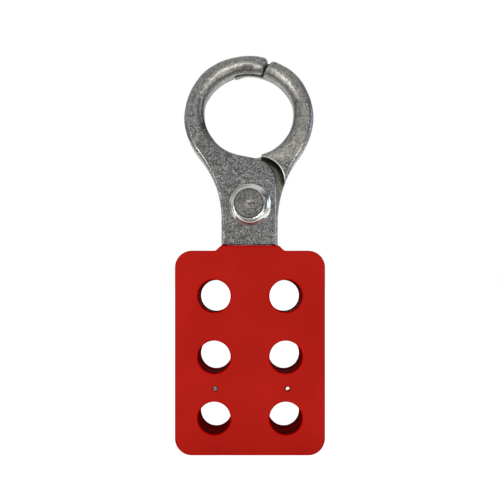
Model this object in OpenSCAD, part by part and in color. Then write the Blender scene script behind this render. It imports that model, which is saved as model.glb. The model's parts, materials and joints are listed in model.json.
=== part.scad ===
// Lockout hasp: two identical half-lapped aluminium castings, each with a red
// moulded grip, turning on one rivet like a pair of tongs. The closed jaws make a
// ring around a switch or valve, and six padlock holes line up through both grips.
//
// Millimetres. Z is up, the front faces -Y, and the origin is the centre of the
// closed jaws, on the plane where the two leaves meet.

/* [Jaws] */
// Diameter of the upper part of the jaw opening
jaw_d = 39; // [34:0.5:50]
// Width of the jaw bar, seen from the front
bar_w = 6.9; // [5:0.1:8.5]
// Depth of a jaw from front to back
jaw_t = 9.4; // [8:0.1:12]
// Diameter of the lower part of the jaw opening, where the bars thicken
lower_d = 37; // [34:0.5:44]
// Height of the lower part's centre above the ring's centre
lower_rise = 3.4; // [2:0.1:5]
// Angle from the top of the ring to the middle of a tongue's round end
tongue_angle = 10.7; // [6:0.1:16]
// Space between a tongue's round end and its socket in the other jaw
socket_gap = 1.2; // [0.6:0.1:2]
// Play between the lapped faces of the two leaves
lap_play = 0.2; // [0.1:0.05:0.5]

/* [Neck] */
// Half width of a casting's neck on the side of its own jaw
neck_wide = 11.6; // [10.8:0.1:13]
// Half width of a casting's neck on the other side
neck_narrow = 10.6; // [10:0.1:10.8]
// Radius of the hollow curve from the jaw down to the neck
hollow_r = 43; // [34:1:60]
// Radius of the convex flank between the ring and the hollow curve
flank_r = 24.8; // [24:0.1:26]
// Height of the flank's centre above the ring's centre
flank_rise = 1; // [0.5:0.1:2]
// Radius of the round shoulder of a lapped plate
shoulder_r = 9.6; // [9:0.1:10.2]
// Height of the shoulder's centre above the rivet
shoulder_rise = 10.1; // [9:0.1:11]
// Slope of a lapped plate's upper edge, in degrees
edge_slope = 11.3; // [6:0.1:16]
// Clear space beside the shoulder, in the other jaw
relief_side = 3.2; // [1.5:0.1:3.6]
// How much larger the radius of that space is than the shoulder's
relief_extra = 0.4; // [0.2:0.1:1]
// Distance from the mid line to the toe of a jaw's full depth, above the shoulder
toe_x = 6.8; // [6:0.1:8]
// Radius of the rounded edges of the neck
edge_r = 1.2; // [0.6:0.1:1.6]
// Radius of the rounded edges of the jaws where they thicken
jaw_edge_r = 2.8; // [1.6:0.1:3]

/* [Pivot rivet] */
// Distance from the ring's centre down to the rivet
pivot_drop = 35.4; // [33:0.1:38]
// Diameter of the rivet's shank
shank_d = 8; // [6:0.1:10]
// Diameter of a rivet head where it meets the plate
head_d = 17.4; // [15:0.1:19]
// Diameter of a rivet head's flat top
head_top_d = 12.6; // [10:0.1:14]
// Height of a rivet head
head_h = 2.6; // [2:0.1:3.5]
// Height of the straight land at the foot of a rivet head
head_land = 0.5; // [0.3:0.1:0.8]
// Radial play of the shank in both castings, and play under the front head
pivot_play = 0.05; // [0.02:0.01:0.1]

/* [Grips] */
// Width of a grip
grip_w = 60.3; // [56:0.1:70]
// Height of a grip below its collar
grip_h = 82.2; // [78:0.1:96]
// Thickness of a grip, from its outer face to the plane where the leaves meet
grip_t = 6; // [5.5:0.1:8]
// Distance from the ring's centre down to the top edge of a grip
grip_drop = 53.8; // [53:0.1:58]
// Corner radius of a grip
grip_corner = 6.8; // [3:0.1:10]
// Height of the collar on top of a grip
collar_h = 2.1; // [1.5:0.1:3]
// Width of the collar at its top
collar_top_w = 23.6; // [22:0.1:27]
// Width of the collar at its foot
collar_foot_w = 27.8; // [26:0.1:30]

/* [Padlock holes] */
// Diameter of a padlock hole
hole_d = 13; // [9:0.1:14]
// Distance between the two columns of holes
column_pitch = 28.7; // [26:0.1:32]
// Distance between the rows of holes
row_pitch = 24.5; // [20:0.1:27]
// Number of rows of holes
rows = 3; // [1:1:3]
// Distance from the top edge of a grip down to the first row
first_row = 18.2; // [16:0.1:20]
// Width of the bevel around a hole's rim
rim_bevel = 0.8; // [0.4:0.1:1]

/* [Core] */
// Thickness of the casting's plate inside a grip
core_t = 3; // [2:0.1:3.4]
// Thickness of the grip over the outer face of that plate
skin_t = 1.5; // [1:0.1:2]
// Thickness of the grip around the edge of that plate and inside each hole
skin_edge = 1.5; // [1:0.1:1.8]
// Clearance between a grip and the casting moulded into it
mould_play = 0.02; // [0.01:0.01:0.05]
// Diameter of the small holes left by the mould's locating pins
pin_hole_d = 1.5; // [1:0.1:2]
// Distance between the two pin holes
pin_hole_pitch = 28; // [26:0.1:30]
// Distance from the top edge of a grip down to the pin holes
pin_hole_drop = 55; // [52:0.1:57]

/* [Hidden] */
$fn = 96;
// Cutters reach this far past what they cut
over = 1;
// The corner between two touching circles is filled this far past their contact
contact_fill = 1.6;
// Where the rounding of the opening's lower edge starts, and how far it runs, in degrees
inner_round = [190, 50];
// How far the rounding of the shoulder runs up from the neck, in degrees
shoulder_round = 60;
// A rounding's arc crosses the faces that it joins by this much, and is not tangent
crossing = 0.02;

half_t = jaw_t / 2;
half_play = lap_play / 2;
side_r = bar_w / 2;
ring_r = jaw_d / 2 + bar_w;
mid_r = jaw_d / 2 + side_r;
lower_r = lower_d / 2;
// Larger than the ring, for cutting boxes
far = 3 * ring_r;

// Middle of a tongue's round end
tongue_x = mid_r * sin(tongue_angle);
tongue_z = mid_r * cos(tongue_angle);

// Height where the lower part of the opening takes over from the upper part
blend_z = (pow(jaw_d / 2, 2) - pow(lower_r, 2) + pow(lower_rise, 2)) / (2 * lower_rise);

// The flank touches the ring's left side, and the hollow is tangent to the flank
flank_x = flank_r - ring_r;
hollow_x = -(neck_wide + hollow_r);
hollow_z = flank_rise - sqrt(pow(flank_r + hollow_r, 2) - pow(hollow_x - flank_x, 2));
// Direction from the flank's centre to the hollow's, below the horizontal
flank_angle = 180 + atan2(hollow_z - flank_rise, hollow_x - flank_x);

// The front leaf's shoulder, right of the mid line, and the round space that its own
// jaw leaves for the rear leaf's shoulder, left of the mid line
shoulder_x = neck_narrow - shoulder_r;
shoulder_z = shoulder_rise - pivot_drop;
relief_r = shoulder_r + relief_extra;
relief_x = -(neck_narrow + relief_side - relief_r);

collar_z = -(grip_drop - collar_h);
grip_bottom = -(grip_drop + grip_h);
core_front = grip_t - skin_t;
core_back = core_front - core_t;
// Half width of the tail that joins the neck to the plate inside the grip
tail_half = neck_narrow - skin_edge;
holes = [for (row = [0 : rows - 1], side = [-1, 1])
    [side * column_pitch / 2, -(grip_drop + first_row + row * row_pitch)]];

// A flat outline in the XZ plane, made solid between two depths along Y
module slab(y0, y1) {
    translate([0, y1, 0]) rotate([90, 0, 0]) linear_extrude(y1 - y0) children();
}

module disc_at(x, z, r) {
    translate([x, z]) circle(r);
}

module box_at(x0, x1, z0, z1) {
    translate([x0, z0]) square([x1 - x0, z1 - z0]);
}

// A rectangle with round corners, from two bars and four discs
module round_box(half_w, z0, z1, r) {
    box_at(r - half_w, half_w - r, z0, z1);
    box_at(-half_w, half_w, z0 + r, z1 - r);
    for (x = [r - half_w, half_w - r], z = [z0 + r, z1 - r]) disc_at(x, z, r);
}

// Rounds both faces of an edge that follows an arc. The metal lies outside the arc
// where side is 1, and inside it where side is -1.
module arc_edge(x, z, r, start, sweep, side, round_r) {
    translate([x, 0, z]) rotate([90, 0, 0]) rotate([0, 0, start])
        rotate_extrude(angle = sweep, $fn = 144) for (face = [-1, 1]) difference() {
            translate([r + side * (round_r - over) / 2, face * (half_t - (round_r - over) / 2)])
                square(round_r + over, center = true);
            translate([r + side * (round_r - crossing), face * (half_t - round_r + crossing)])
                circle(round_r);
        }
}

// Rounds the front and back of the neck's upright edge at x
module neck_edge(x, z0, z1, side) {
    for (face = [-1, 1]) translate([0, 0, z0]) linear_extrude(z1 - z0) difference() {
        translate([x - side * (edge_r - over) / 2, face * (half_t - (edge_r - over) / 2)])
            square(edge_r + over, center = true);
        translate([x - side * (edge_r - crossing), face * (half_t - edge_r + crossing)])
            circle(edge_r);
    }
}

// The whole ring, with a bar whose section has round sides
module ring_bar() {
    flat = half_t - side_r;
    rotate([90, 0, 0]) rotate_extrude($fn = 144) translate([mid_r, 0]) {
        for (y = [-flat, flat]) translate([0, y]) circle(side_r);
        translate([-side_r, -flat]) square([bar_w, 2 * flat]);
    }
}

// The jaw opening as the front leaf bounds it: round on its own side, then a
// straight edge that slopes down to the shoulder
module opening_shape() {
    tangent_x = -lower_r * sin(edge_slope);
    tangent_z = lower_rise - lower_r * cos(edge_slope);
    disc_at(0, lower_rise, lower_r);
    polygon([
        [tangent_x, tangent_z],
        [far, tangent_z - (far - tangent_x) * tan(edge_slope)],
        [far, lower_rise],
        [tangent_x, lower_rise]
    ]);
}

// Outline of the front leaf below the ring's middle: flank, hollow, plate and neck
module lower_outline() {
    difference() {
        union() {
            intersection() {
                disc_at(flank_x, flank_rise, flank_r);
                box_at(-far, 0, -far, 0);
            }
            // The corner between the flank and the hollow
            intersection() {
                translate([flank_x, flank_rise]) rotate(flank_angle - 90)
                    translate([-contact_fill, -flank_r - hollow_r])
                        square([far, flank_r + hollow_r]);
                box_at(hollow_x, shoulder_x, shoulder_z, 0);
            }
            box_at(hollow_x, neck_narrow, collar_z, shoulder_z);
            disc_at(shoulder_x, shoulder_z, shoulder_r);
        }
        opening_shape();
        disc_at(hollow_x, hollow_z, hollow_r);
        box_at(-far, -neck_wide, -far, hollow_z);
    }
}

// Where the lower part of the opening is narrower than the ring
module inner_web() {
    difference() {
        intersection() {
            disc_at(0, 0, mid_r);
            box_at(-far, 0, 0, blend_z);
        }
        disc_at(0, lower_rise, lower_r);
    }
}

// The plate inside a grip, with a hole around each padlock hole, grown by the play
module core_outline(grow) {
    margin = skin_edge - grow;
    difference() {
        union() {
            round_box(grip_w / 2 - margin, grip_bottom + margin, -grip_drop - margin, grip_corner - margin);
            box_at(-tail_half - grow, tail_half + grow, -grip_drop - grip_corner, collar_z);
        }
        for (p = holes) disc_at(p.x, p.y, hole_d / 2 + skin_edge - grow);
    }
}

// One casting, in the front leaf's place: jaw on the left, plate in the front half
module casting() {
    difference() {
        union() {
            // Upper jaw: its front half runs on into the tongue
            intersection() {
                ring_bar();
                slab(-half_t - over, -half_play) {
                    box_at(-far, tongue_x, 0, far);
                    disc_at(tongue_x, tongue_z, side_r);
                }
            }
            // Its back half stops at the socket for the other tongue
            intersection() {
                ring_bar();
                slab(-half_play, half_t + over) difference() {
                    box_at(-far, -tongue_x, 0, far);
                    disc_at(-tongue_x, tongue_z, side_r + socket_gap);
                }
            }
            slab(side_r - half_t - edge_r, half_t - side_r + edge_r) inner_web();
            slab(-half_t, -half_play) lower_outline();
            // Lower jaw at full depth, clear of the other leaf's shoulder
            slab(-half_play, half_t) difference() {
                intersection() {
                    lower_outline();
                    box_at(-far, -toe_x, shoulder_z, 0);
                }
                disc_at(relief_x, shoulder_z, relief_r);
            }
            slab(-core_front, -core_back) core_outline(0);
            slab(-core_front, -half_play) box_at(-tail_half, tail_half, collar_z, collar_z + over);
        }
        arc_edge(flank_x, flank_rise, flank_r, 180, flank_angle, -1, jaw_edge_r);
        arc_edge(hollow_x, hollow_z, hollow_r, 0, flank_angle, 1, edge_r);
        arc_edge(0, lower_rise, lower_r, inner_round.x, inner_round.y, 1, jaw_edge_r);
        arc_edge(shoulder_x, shoulder_z, shoulder_r, 0, shoulder_round, -1, edge_r);
        neck_edge(-neck_wide, collar_z, hollow_z, -1);
        neck_edge(neck_narrow, collar_z, shoulder_z, 1);
        translate([0, 0, -pivot_drop]) rotate([90, 0, 0])
            cylinder(h = 2 * jaw_t, d = shank_d + 2 * pivot_play, center = true);
    }
}

// One grip, in the front leaf's place
module grip() {
    difference() {
        slab(-grip_t, -half_play) {
            round_box(grip_w / 2, grip_bottom, -grip_drop, grip_corner);
            polygon([
                [-collar_foot_w / 2, -grip_drop],
                [-collar_foot_w / 2, -grip_drop - over],
                [collar_foot_w / 2, -grip_drop - over],
                [collar_foot_w / 2, -grip_drop],
                [collar_top_w / 2, collar_z],
                [-collar_top_w / 2, collar_z]
            ]);
        }
        slab(-core_front - mould_play, mould_play - core_back) core_outline(mould_play);
        for (p = holes) translate([p.x, 0, p.y]) rotate([90, 0, 0]) {
            cylinder(h = 2 * grip_t, d = hole_d);
            translate([0, 0, grip_t - rim_bevel])
                cylinder(h = rim_bevel, d1 = hole_d, d2 = hole_d + 2 * rim_bevel);
        }
        for (side = [-1, 1])
            translate([side * pin_hole_pitch / 2, 0, -grip_drop - pin_hole_drop]) rotate([90, 0, 0])
                translate([0, 0, core_front]) cylinder(h = 2 * skin_t, d = pin_hole_d);
    }
}

module rivet_head() {
    cylinder(h = head_land, d = head_d);
    translate([0, 0, head_land]) cylinder(h = head_h - head_land, d1 = head_d, d2 = head_top_d);
}

module front_jaw() {
    color("silver") casting();
}

module rear_jaw() {
    color("silver") rotate([0, 0, 180]) casting();
}

module front_grip() {
    color("firebrick") grip();
}

module rear_grip() {
    color("firebrick") rotate([0, 0, 180]) grip();
}

module pivot_rivet() {
    color("lightgray") translate([0, 0, -pivot_drop]) {
        translate([0, -half_t - pivot_play, 0]) rotate([-90, 0, 0])
            cylinder(h = jaw_t + pivot_play, d = shank_d);
        translate([0, -half_t - pivot_play, 0]) rotate([90, 0, 0]) rivet_head();
        translate([0, half_t, 0]) rotate([-90, 0, 0]) rivet_head();
    }
}

front_jaw();
rear_jaw();
front_grip();
rear_grip();
pivot_rivet();
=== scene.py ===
"""Looks of a lockout hasp: two half-lapped aluminium castings with red moulded
grips, which turn on one rivet.

Shapes are worked out in millimetres, in the frame's own axes: Z up, front at -Y,
origin at the middle of the closed jaws. MM turns them into Blender's metres.
Both leaves are made in the front leaf's place, and the rear one is then turned round.
"""

import functools
import json
import math
from types import SimpleNamespace

import bmesh
import bpy
import numpy as np
import openvdb
from mathutils import Matrix, Vector


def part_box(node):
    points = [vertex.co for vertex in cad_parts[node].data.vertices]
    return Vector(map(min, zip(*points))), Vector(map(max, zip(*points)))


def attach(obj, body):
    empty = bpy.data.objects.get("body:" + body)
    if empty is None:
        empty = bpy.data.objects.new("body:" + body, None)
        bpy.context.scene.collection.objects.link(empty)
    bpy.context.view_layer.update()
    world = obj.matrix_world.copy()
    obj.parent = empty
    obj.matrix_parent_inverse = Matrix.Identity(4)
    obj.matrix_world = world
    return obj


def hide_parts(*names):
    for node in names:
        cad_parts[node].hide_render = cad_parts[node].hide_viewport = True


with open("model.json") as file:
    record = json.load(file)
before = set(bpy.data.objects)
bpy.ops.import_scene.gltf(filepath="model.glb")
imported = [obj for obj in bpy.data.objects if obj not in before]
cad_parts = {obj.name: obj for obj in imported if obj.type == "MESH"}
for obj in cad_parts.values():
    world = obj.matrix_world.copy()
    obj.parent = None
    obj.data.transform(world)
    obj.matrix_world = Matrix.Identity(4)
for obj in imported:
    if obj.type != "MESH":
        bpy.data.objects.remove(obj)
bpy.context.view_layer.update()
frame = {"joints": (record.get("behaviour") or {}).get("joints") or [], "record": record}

MM = 0.001

# ---- Places taken from the frame, in mm --------------------------------------


def box_mm(node):
    """Lowest and highest corners of a CAD node, in mm."""
    low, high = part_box(node)
    return low / MM, high / MM


jaw_low, jaw_high = box_mm("front_jaw")
grip_low, grip_high = box_mm("front_grip")
rivet_low, rivet_high = box_mm("pivot_rivet")
hinge = frame["joints"][0]
padlock_holes = [m for m in frame["record"]["mounts"] if m["kind"] == "bore"]

HALF_T = -jaw_low.y
HALF_PLAY = -grip_high.y
RING_R = jaw_high.z
PIVOT_Z = hinge["pos_m"][2] / MM
HOLES = [(m["pos_m"][0] / MM, m["pos_m"][2] / MM) for m in padlock_holes]
HOLE_R = padlock_holes[0]["dims"]["r_mm"]
GRIP_FRONT = grip_low.y
GRIP_BOTTOM = grip_low.z
COLLAR_Z = grip_high.z
GRIP_HALF_W = grip_high.x
HEAD_R = rivet_high.x
HEAD_FRONT = rivet_low.y
HEAD_BACK = rivet_high.y

# ---- Shape of a casting, in mm -----------------------------------------------

# Grid that the castings are meshed on, and a distance past anything on them
STEP = 0.25
BIG = 1000.0

# The ring's bar, the radius inside it, and the radius of its middle line
BAR_W = 6.9
SIDE_R = BAR_W / 2
JAW_R = RING_R - BAR_W
MID_R = RING_R - SIDE_R
# How much flatter than a circle the top of the ring is, and how far the bar's outer
# edge dips towards the socket
TOP_FLAT = 0.7
SOCKET_DIP = 0.75
# How far to the left of the pivot the closed ring stands, and where that fades out
RING_OFFSET = 0.45
OFFSET_ZS = (-31.0, -8.0)

# The opening's lower arc and how far it is raised, and the slope of its straight edge
LOWER_R = 18.5
LOWER_RISE = 3.4
EDGE_SLOPE = math.radians(11.3)
# Only above these heights do the socket's wall and the tongue's end cut the bar
SOCKET_Z = 5
TONGUE_Z = 10

# How far the lap runs off level at the top of the ring, and how the tongue's end and
# the socket's wall lean: each leans about a point so far across the bar
TONGUE_ANGLE = math.radians(10.7)
END_LEAN = math.radians(17)
END_ACROSS = 0.9
WALL_ALONG = 4.6
WALL_LEAN = math.radians(27)
WALL_ACROSS = 1.1

# The neck to the left and right of the pivot, and the flank and hollow above it
NECK_WIDE = 11.6
NECK_NARROW = 10.6
FLANK_R = 24.8
FLANK_RISE = 1.0
HOLLOW_R = 43.0
# The neck plate's shoulder, and the arc step that runs round the other leaf's
# shoulder, a little way outside it. The full-depth jaw ends left of TOE_X.
SHOULDER_R = 9.6
SHOULDER_Z = PIVOT_Z + 10.1
STEP_GAP = 3.2
RELIEF_R = 9.42
RELIEF_X = -(NECK_NARROW + STEP_GAP - RELIEF_R)
TOE_X = -5.0
SHANK_HOLE_R = 4.05

# Radii of the bar's rounded edges, up in the jaw and down at the neck
JAW_EDGE = 3.5
OUTER_EDGE = 2.3
TIP_EDGE = 2.3
NECK_EDGE = 1.1
LAP_EDGE = 0.15
NECK_LAP_EDGE = 0.9
WALL_EDGE = 0.35
# Heights between which they grow from the neck's to the jaw's, and where the lap
# face's edge grows towards the grip
EDGE_ZS = (-24.0, -3.0)
LAP_EDGE_ZS = (-36.0, -39.0)
# Radii of the tongue's outer corner, and of the socket's inner and outer corners
TIP_CORNER = 2.6
SOCKET_CORNERS = (0.15, 1.8)
# Extra room between the two tongues, behind the one in front
TONGUE_RELIEF = 0.4
TONGUE_ZS = (9.0, 13.0)

# Tumbling ripple, and the flash line round the middle
RIPPLE = 0.09
FLASH = 0.10
FLASH_W = 0.4
# The mould's seam across the bar bows up on both sides of SEAM_X. On the front casting
# it is a step too, left of SEAM_END_X, which fades in with height.
SEAM_X = 23
SEAM_Z = 0.6
SEAM_BOW = 0.02
SEAM_END_X = -14
SEAM_ZS = (-14, -6)

# The casting's plate inside the grip, the skin of vinyl round it, and the tail that
# joins it to the neck
GRIP_TOP = COLLAR_Z - 2.1
CORE_FRONT = -4.5
CORE_BACK = -1.5
CORE_MIDDLE = (CORE_FRONT + CORE_BACK) / 2
SKIN = 1.5
TAIL_HALF = NECK_NARROW - SKIN
TAIL_HALF_T = 1.4
TAIL_Z = COLLAR_Z - 2
TAIL_HALF_H = 3.5

# What differs between the two leaves: their side, ripples, tongue and seam, how high the
# mould's skin reaches, the flank's burnished and painted-highlight tone, the opening's share
# of painted shade, and small dents. Each dent is x, z, the face (-1 front, 1 back) and a radius.
FRONT = SimpleNamespace(
    side=1,
    seed=11,
    tongue_reach=3.35,
    tip_corner=1.2,
    seam_step=0.18,
    pebbled_top=-1.4,
    noise_offset=(3.1, 7.7, 1.9),
    flank_burnish_highlight_tone=(0.36, 0.345, 0.29, 1),
    opening_shade_share=0.8,
    dents=[
        (-9.8, -42.2, -1, 0.5), (-20.6, 2.4, -1, 0.5), (-23.8, 4.3, -1, 0.45),
        (4.5, -20.5, -1, 0.45), (-6.0, -24.0, -1, 0.4), (-9.3, -30.5, -1, 0.4),
        (-2.0, -48.6, -1, 0.5), (-14.5, 17.0, -1, 0.4), (22.0, -6.0, 1, 0.4),
        (-6.5, -47.0, -1, 0.35), (6.5, -46.0, -1, 0.35), (-15.0, -9.0, -1, 0.4),
    ],
)
REAR = SimpleNamespace(
    side=-1,
    seed=23,
    tongue_reach=3.54,
    tip_corner=0.3,
    seam_step=0.0,
    pebbled_top=-17.5,
    noise_offset=(41.3, 17.2, 63.8),
    flank_burnish_highlight_tone=(0.66, 0.64, 0.56, 1),
    opening_shade_share=0.6,
    dents=[
        (-20.2, 11.6, 1, 0.5), (-23.4, 4.8, 1, 0.45), (-23.0, -0.5, 1, 0.45),
        (-19.0, -9.4, 1, 0.5), (-13.0, -13.4, 1, 0.45), (-16.5, -6.0, 1, 0.35),
        (-8.0, -44.0, -1, 0.5), (3.0, -24.5, -1, 0.45), (-17.6, 15.2, 1, 0.4),
        (-14.0, -28.0, -1, 0.4),
    ],
)

# ---- Shape of the grips and the rivet, in mm ----------------------------------

GRIP_CORNER = 6.8
# Room between a casting and its grip
CLEARANCE = 0.02
# Rounded edges of the grip at its face and at its back: round the outside, round the
# padlock holes, and round the pin holes
OUTER_FILLETS = (0.85, 0.3)
HOLE_FILLETS = (0.75, 0.2)
PIN_FILLET = 0.18

# Two marks of the mould's pins: blind holes with a pip of the casting in each
PIN_XS = (-14.0, 15.1)
PIN_Z = GRIP_TOP - 55.3
PIN_R = 1.12
PIN_BOTTOM = CORE_FRONT + 0.6
# A pip's (radius, depth) pairs, the depth behind which it stays upright, and how
# steeply each of the two leans
PIP_PROFILE = [(0.05, -6.0), (0.55, -5.98), (0.8, -5.92), (0.96, -5.75), (1.03, -5.3), (1.05, -3.0)]
PIP_FOOT = -4.6
PIP_LEANS = (0.0, 0.19)

# A rivet head's disc as (radius, drop) pairs: dished, with a groove inside its rim
DISC_R = 6.3
DISC_PROFILE = [
    (0.05, 0.34), (0.35, 0.32), (0.7, 0.24), (1.0, 0.17), (1.6, 0.15), (3.0, 0.16),
    (4.2, 0.19), (5.0, 0.24), (5.5, 0.27), (5.8, 0.17), (6.1, 0.04), (DISC_R, 0.0),
]
# Its bevel: equal steps, the first few gently sloped and the others steep
BEVEL_STEP = 0.195
BEVEL_STEPS = 12
GENTLE_STEPS = 4
GENTLE_TILT = math.radians(27)
STEEP_TILT = math.radians(53)
SHANK_R = 4.0
# How far the front head stands clear of the casting that turns under it, and how far
# the heads' discs are struck off true
HEAD_PLAY = 0.05
HEAD_SHIFT_X = -0.45
HEAD_SHIFT_Z = 0.3


# ---- Distances -----------------------------------------------------------------


def inside_all(*distances):
    """Distance to what lies inside all of several shapes."""
    return functools.reduce(np.maximum, distances)


def rounded_edge(a, b, r):
    """Distance to what lies inside both a and b, with the edge rounded to r."""
    u = np.maximum(a + r, 0)
    v = np.maximum(b + r, 0)
    return np.minimum(np.maximum(a, b) + r, 0) + np.hypot(u, v) - r


def slab(outline, y, front, back, front_r, back_r):
    """The outline made solid between two depths, with rounded edges."""
    front_side = rounded_edge(outline, front - y, front_r)
    return np.maximum(front_side, rounded_edge(outline, y - back, back_r))


def smooth_step(value, low, high):
    """Rises smoothly from 0 at low to 1 at high."""
    t = np.clip((value - low) / (high - low), 0, 1)
    return t * t * (3 - 2 * t)


def mix(start, end, share):
    """What lies a share of the way from start to end."""
    return start + (end - start) * share


def across_bar(x, z):
    """How far out a point lies from the middle line of the ring's bar."""
    return np.hypot(x, z) - MID_R


def along_lap(x, z):
    """How far a point lies along the lap at the top of the ring."""
    return x * math.cos(TONGUE_ANGLE) - z * math.sin(TONGUE_ANGLE)


def outer_edge(x, z):
    """Distance to the leaf's outer left edge: ring, flank, hollow and neck."""
    flank_x = FLANK_R - RING_R
    hollow_x = -(NECK_WIDE + HOLLOW_R)
    reach = FLANK_R + HOLLOW_R
    hollow_z = FLANK_RISE - math.sqrt(reach ** 2 - (hollow_x - flank_x) ** 2)
    ring = np.hypot(x, z) - RING_R + TOP_FLAT * smooth_step(z, 19, RING_R)
    flank = np.hypot(x - flank_x, z - FLANK_RISE) - FLANK_R
    hollow = HOLLOW_R - np.hypot(x - hollow_x, z - hollow_z)
    side = (hollow_x - flank_x) * (z - FLANK_RISE) - (hollow_z - FLANK_RISE) * (x - flank_x)
    low = np.where(side < 0, flank, np.where(z > hollow_z, hollow, -NECK_WIDE - x))
    share = smooth_step(z, -1.5, 1.5)
    return ring * share + low * (1 - share)


def opening_edge(x, z):
    """Distance to the jaw opening's edge, as this leaf bounds it."""
    tangent_x = -LOWER_R * math.sin(EDGE_SLOPE)
    tangent_z = LOWER_RISE - LOWER_R * math.cos(EDGE_SLOPE)
    hole = np.minimum(JAW_R - np.hypot(x, z), LOWER_R - np.hypot(x, z - LOWER_RISE))
    below = (z - tangent_z) * math.cos(EDGE_SLOPE) + (x - tangent_x) * math.sin(EDGE_SLOPE)
    cleared = np.minimum(np.minimum(below, x - tangent_x), TONGUE_Z - z)
    return np.maximum(hole, cleared)


def shoulder_edge(x, z):
    """Distance to the plate's narrow edge on the right: shoulder and neck."""
    shoulder_x = NECK_NARROW - SHOULDER_R
    round_part = np.hypot(x - shoulder_x, z - SHOULDER_Z) - SHOULDER_R
    edge = np.where(z > SHOULDER_Z, round_part, x - NECK_NARROW)
    free = (z > 0) | ((x < shoulder_x) & (z > SHOULDER_Z))
    return np.where(free, -BIG, edge)


def tongue_end(x, z, outline, leaf):
    """The front half's outline, closed by the tongue's leaning end."""
    across = across_bar(x, z)
    past = along_lap(x, z) - leaf.tongue_reach
    end = past * math.cos(END_LEAN) - (across - END_ACROSS) * math.sin(END_LEAN)
    corner = mix(leaf.tip_corner, TIP_CORNER, smooth_step(across, -1.5, 1.5))
    return np.where(z > TONGUE_Z, rounded_edge(outline, end, corner), outline)


def socket_wall(x, z):
    """Distance past the socket's wall, which faces the other leaf's tongue."""
    past = WALL_ALONG - along_lap(-x, z)
    across = across_bar(x, z)
    wall = past * math.cos(WALL_LEAN) + (across - WALL_ACROSS) * math.sin(WALL_LEAN)
    return np.where(z > SOCKET_Z, wall, -BIG)


def full_depth_limit(x, z):
    """Distance to where the jaw stops being as deep as both leaves."""
    relief = RELIEF_R - np.hypot(x - RELIEF_X, z - SHOULDER_Z)
    return inside_all(socket_wall(x, z), relief, x - TOE_X, SHOULDER_Z - z)


def edge_radius(x, z):
    """Radius of the bar's rounded edges: largest inside the jaw, smallest at the neck."""
    jaw = mix(JAW_EDGE, OUTER_EDGE, smooth_step(across_bar(x, z), -0.3, 0.6))
    return mix(NECK_EDGE, jaw, smooth_step(z, *EDGE_ZS))


def waviness(x, y, z, seed):
    """Slow ripples left by tumbling, as a sum of plane waves."""
    rng = np.random.default_rng(seed)
    count = 10
    total = 0
    for _ in range(count):
        direction = rng.normal(size=3)
        direction = direction / np.linalg.norm(direction)
        length = rng.uniform(3.5, 9.0)
        turn = 2 * math.pi / length
        phase = rng.uniform(0, 2 * math.pi)
        along = x * direction[0] + y * direction[1] + z * direction[2]
        total = total + np.sin(turn * along + phase)
    return total / count


def cast_skin(x, y, z, ripple, limit, leaf):
    """What ripple, flash line and seam add to the distance to the full-depth half."""
    flash = FLASH * np.exp(-((y / FLASH_W) ** 2)) * smooth_step(-limit, -0.5, 0.8)
    below_seam = smooth_step(SEAM_Z + SEAM_BOW * (x + SEAM_X) ** 2 - z, -0.25, 0.25)
    seam = leaf.seam_step * below_seam * (z > SEAM_ZS[0]) * (x < SEAM_END_X)
    return ripple * smooth_step(np.abs(y), 0.6, 1.6) - flash - seam * smooth_step(z, *SEAM_ZS)


def full_half(x, y, z, outline, ripple, leaf):
    """Distance to the half that is as deep as both leaves, with the socket in it."""
    limit = full_depth_limit(x, z)
    wall = socket_wall(x, z)
    across = across_bar(x, z)
    edge = edge_radius(x, z)
    dip = SOCKET_DIP * smooth_step(wall, -9.0, -0.5)
    dipped = np.maximum(outline, np.where(z > SOCKET_Z, across - SIDE_R + dip, -BIG))
    corner = mix(*SOCKET_CORNERS, smooth_step(across, -1.0, 1.0))
    body = slab(dipped, y, -HALF_T, HALF_T, edge, edge)
    body = body + cast_skin(x, y, z, ripple, limit, leaf)
    return inside_all(rounded_edge(body, limit, WALL_EDGE), rounded_edge(dipped, wall, corner))


def lapped_half(x, y, z, outline, ripple, leaf):
    """Distance to the front half: neck plate, bar and tongue, up to the lap face."""
    edge = edge_radius(x, z)
    front_edge = mix(edge, TIP_EDGE, smooth_step(along_lap(x, z), -3.0, 1.0) * (z > 0))
    lap = -HALF_PLAY - TONGUE_RELIEF * smooth_step(z, *TONGUE_ZS)
    lap_edge = mix(LAP_EDGE, NECK_LAP_EDGE, smooth_step(z, *LAP_EDGE_ZS))
    plate = slab(tongue_end(x, z, outline, leaf), y, -HALF_T, lap, front_edge, lap_edge)
    return np.maximum(plate + ripple * smooth_step(-y, 0.8, 1.8), y - lap)


def tail(x, y, z):
    """Distance to the tail, which runs down inside the collar."""
    outline = np.maximum(np.abs(x) - TAIL_HALF, np.abs(z - TAIL_Z) - TAIL_HALF_H)
    return np.maximum(outline, np.abs(y - CORE_MIDDLE) - TAIL_HALF_T)


def dented(body, x, y, z, dents):
    """The body with the lower part of a small ball pressed into it at each dent."""
    for dent_x, dent_z, face, radius in dents:
        height = y - face * (HALF_T + 0.75 * radius)
        ball = np.sqrt((x - dent_x) ** 2 + (z - dent_z) ** 2 + height ** 2)
        body = np.maximum(body, radius - ball)
    return body


def casting_field(x, y, z, leaf):
    """Signed distance to one casting, in the front leaf's place."""
    x = x + leaf.side * RING_OFFSET * smooth_step(z, *OFFSET_ZS)
    outline = inside_all(outer_edge(x, z), opening_edge(x, z), shoulder_edge(x, z), COLLAR_Z - z)
    ripple = RIPPLE * waviness(x, y, z, leaf.seed)
    full = full_half(x, y, z, outline, ripple, leaf)
    plate = lapped_half(x, y, z, outline, ripple, leaf)
    body = np.minimum(np.minimum(full, plate), tail(x, y, z))
    body = dented(body, x, y, z, leaf.dents)
    return np.maximum(body, SHANK_HOLE_R - np.hypot(x, z - PIVOT_Z))


# ---- Meshes -------------------------------------------------------------------


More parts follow.
